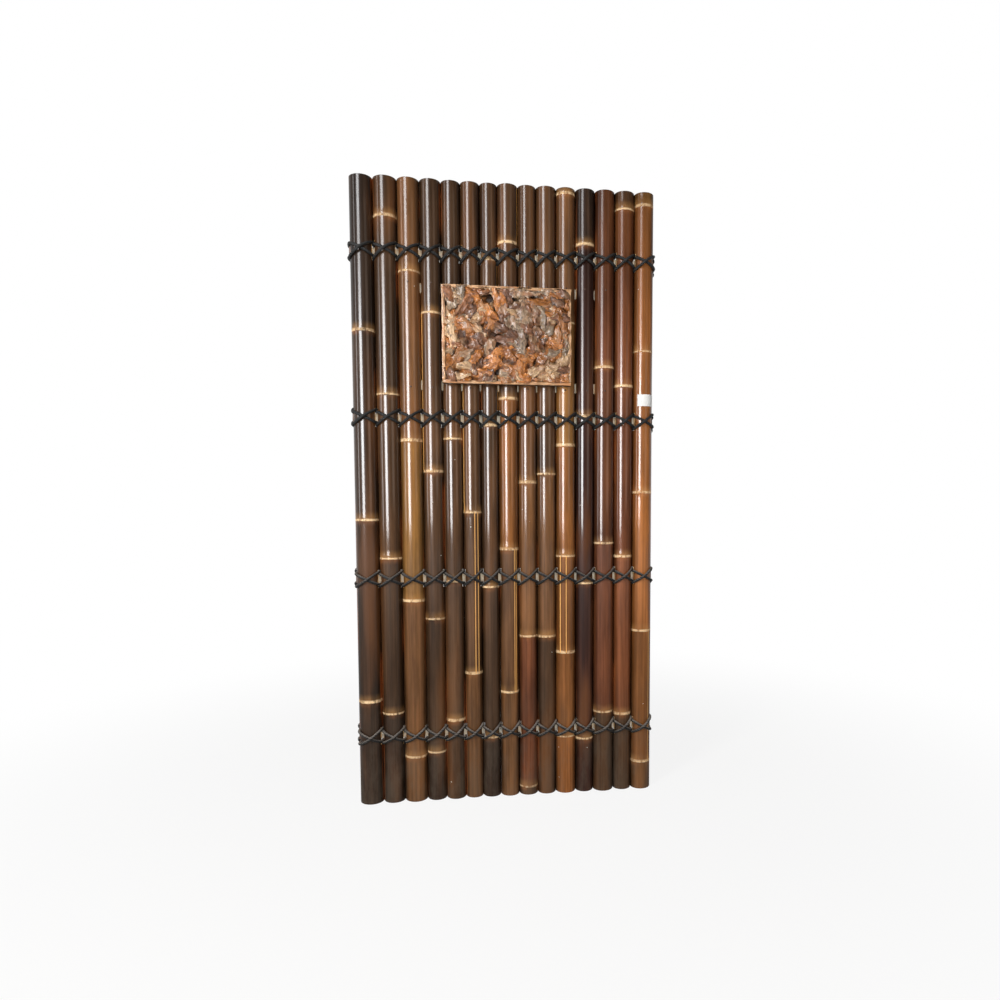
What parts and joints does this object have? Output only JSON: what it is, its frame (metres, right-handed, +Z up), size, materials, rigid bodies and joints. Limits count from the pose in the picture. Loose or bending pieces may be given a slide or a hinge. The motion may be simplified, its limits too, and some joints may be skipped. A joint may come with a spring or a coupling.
{
  "type": "bamboo fence panel",
  "caption": "Upright fence panel of split dark bamboo culms lashed with crossed black cord to pale battens, with a framed root-wood mosaic relief on the front.",
  "frame": {"origin": "bottom centre of the panel at mid depth", "axes": "X to the right seen from the front, Y to the back, Z up"},
  "size_m": [0.8867, 0.0876, 1.8],
  "materials": {
    "culm_black": "gloss varnish",
    "culm_dark": "gloss varnish",
    "culm_brown": "gloss varnish",
    "culm_golden": "gloss varnish",
    "culm_red": "gloss varnish",
    "culm_orange": "gloss varnish",
    "batten": "raw",
    "cord": "matte fibre",
    "relief_board": "raw",
    "strip": "raw",
    "root_brown": "varnished",
    "root_orange": "varnished",
    "root_tan": "varnished",
    "root_grey": "varnished"
  },
  "bodies": {
    "root": {"culm_01": "culm_black", "culm_02": "culm_dark", "culm_03": "culm_golden", "culm_04": "culm_dark", "culm_05": "culm_dark", "culm_06": "culm_red", "culm_07": "culm_black", "culm_08": "culm_brown", "culm_09": "culm_brown", "culm_10": "culm_dark", "culm_11": "culm_orange", "culm_12": "culm_black", "culm_13": "culm_red", "culm_14": "culm_red", "culm_15": "culm_orange", "lashing_batten_1": "batten", "lashing_batten_2": "batten", "lashing_batten_3": "batten", "lashing_batten_4": "batten", "relief_batten_lower": "batten", "relief_batten_upper": "batten", "under_cord_1": "cord", "over_cord_1": "cord", "under_cord_2": "cord", "over_cord_2": "cord", "under_cord_3": "cord", "over_cord_3": "cord", "under_cord_4": "cord", "over_cord_4": "cord", "relief_board": "relief_board", "relief_strip_bottom": "strip", "relief_strip_top": "strip", "relief_strip_left": "strip", "relief_strip_right": "strip", "root_chip_01": "root_orange", "root_chip_02": "root_tan", "root_chip_03": "root_brown", "root_chip_04": "root_grey", "root_chip_05": "root_orange", "root_chip_06": "root_brown", "root_chip_07": "root_brown", "root_chip_08": "root_orange", "root_chip_09": "root_tan", "root_chip_10": "root_brown", "root_chip_11": "root_grey", "root_chip_12": "root_orange", "root_chip_13": "root_brown", "root_chip_14": "root_brown", "root_chip_15": "root_orange", "root_chip_16": "root_tan", "root_chip_17": "root_brown", "root_chip_18": "root_grey", "root_chip_19": "root_orange", "root_chip_20": "root_brown", "root_chip_21": "root_brown", "root_chip_22": "root_orange", "root_chip_23": "root_tan", "root_chip_24": "root_brown", "root_chip_25": "root_grey"}
  },
  "joints": []
}
